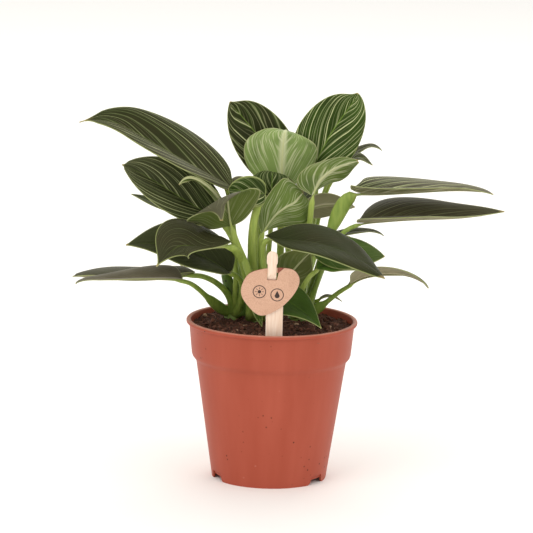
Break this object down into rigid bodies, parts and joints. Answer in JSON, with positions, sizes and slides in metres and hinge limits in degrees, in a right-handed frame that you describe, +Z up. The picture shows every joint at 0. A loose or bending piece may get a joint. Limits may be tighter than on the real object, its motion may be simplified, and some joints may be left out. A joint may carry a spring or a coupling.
{
  "type": "potted foliage plant",
  "caption": "Bushy foliage plant with long pinstriped leaves in a round tapered nursery pot with a rolled lip, soil and a wooden tag.",
  "frame": {"origin": "on the pot's axis at the ground, at the centre of the flat pad under the pot's base", "axes": "+Z up along the pot's axis, -Y towards the front with the tag, +X to the plant's right as seen from the front"},
  "size_m": [0.3, 0.1977, 0.2673],
  "materials": {
    "pot": "satin",
    "soil": "matte",
    "petiole": "satin",
    "blade": "satin",
    "tag_wood": "matte",
    "tag_disc": "matte"
  },
  "bodies": {
    "root": {"pot": "pot", "soil": "soil", "stems_left": "petiole", "stems_middle": "petiole", "stems_right": "petiole", "tag_stake": "tag_wood", "tag_disc": "tag_disc", "leaf_left_long": "blade", "leaf_left_middle": "blade", "leaf_left_sliver": "blade", "leaf_left_hooded": "blade", "leaf_left_curled": "blade", "leaf_left_low": "blade", "leaf_left_flat_upper": "blade", "leaf_left_flat_lower": "blade", "leaf_centre_arched": "blade", "leaf_centre_lobe": "blade", "leaf_centre_inner": "blade", "leaf_centre_lower": "blade", "leaf_centre_round": "blade", "leaf_top_left": "blade", "leaf_top_right": "blade", "leaf_right_folded": "blade", "leaf_right_tip_low": "blade", "leaf_right_tip_high": "blade", "leaf_middle_underside": "blade", "leaf_right_upper": "blade", "leaf_right_lower": "blade", "leaf_right_behind": "blade", "leaf_right_small": "blade", "leaf_right_bright": "blade", "leaf_right_arching": "blade", "leaf_right_withered": "blade", "leaf_front_right": "blade", "leaf_front_right_second": "blade", "leaf_front_low": "blade", "leaf_front_sprout": "blade", "leaf_front_left": "blade", "leaf_back_right": "blade", "leaf_back_left": "blade", "leaf_back_high": "blade", "leaf_back_low": "blade"}
  },
  "joints": []
}
